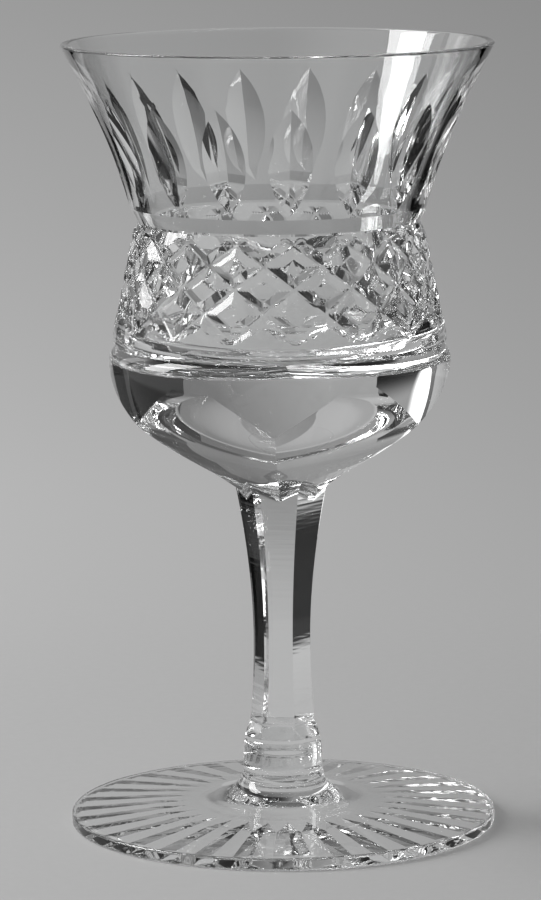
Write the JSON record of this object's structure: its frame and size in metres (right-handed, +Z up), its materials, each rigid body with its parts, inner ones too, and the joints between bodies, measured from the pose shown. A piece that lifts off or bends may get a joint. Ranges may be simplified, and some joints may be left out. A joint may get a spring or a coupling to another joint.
{
  "type": "liqueur glass",
  "caption": "Stemmed liqueur glass in clear cut crystal: flared bowl with leaf cuts and a diamond band, panelled bulb, faceted stem, joining collar and a round foot with a star cut.",
  "frame": {"origin": "centre of the foot's standing ring, on the table", "axes": "+Z up along the axis of the glass, -Y towards the viewer of the picture, +X to the viewer's right"},
  "size_m": [0.0572, 0.0572, 0.105],
  "materials": {
    "bowl_glass": "clear crystal, wheel cut and polished",
    "stem_glass": "clear crystal, cut flats polished",
    "merese_glass": "clear crystal, fire polished",
    "foot_glass": "clear crystal, fire polished above, wheel cut below"
  },
  "bodies": {
    "root": {"bowl": "bowl_glass", "stem": "stem_glass", "merese": "merese_glass", "foot": "foot_glass"}
  },
  "joints": []
}
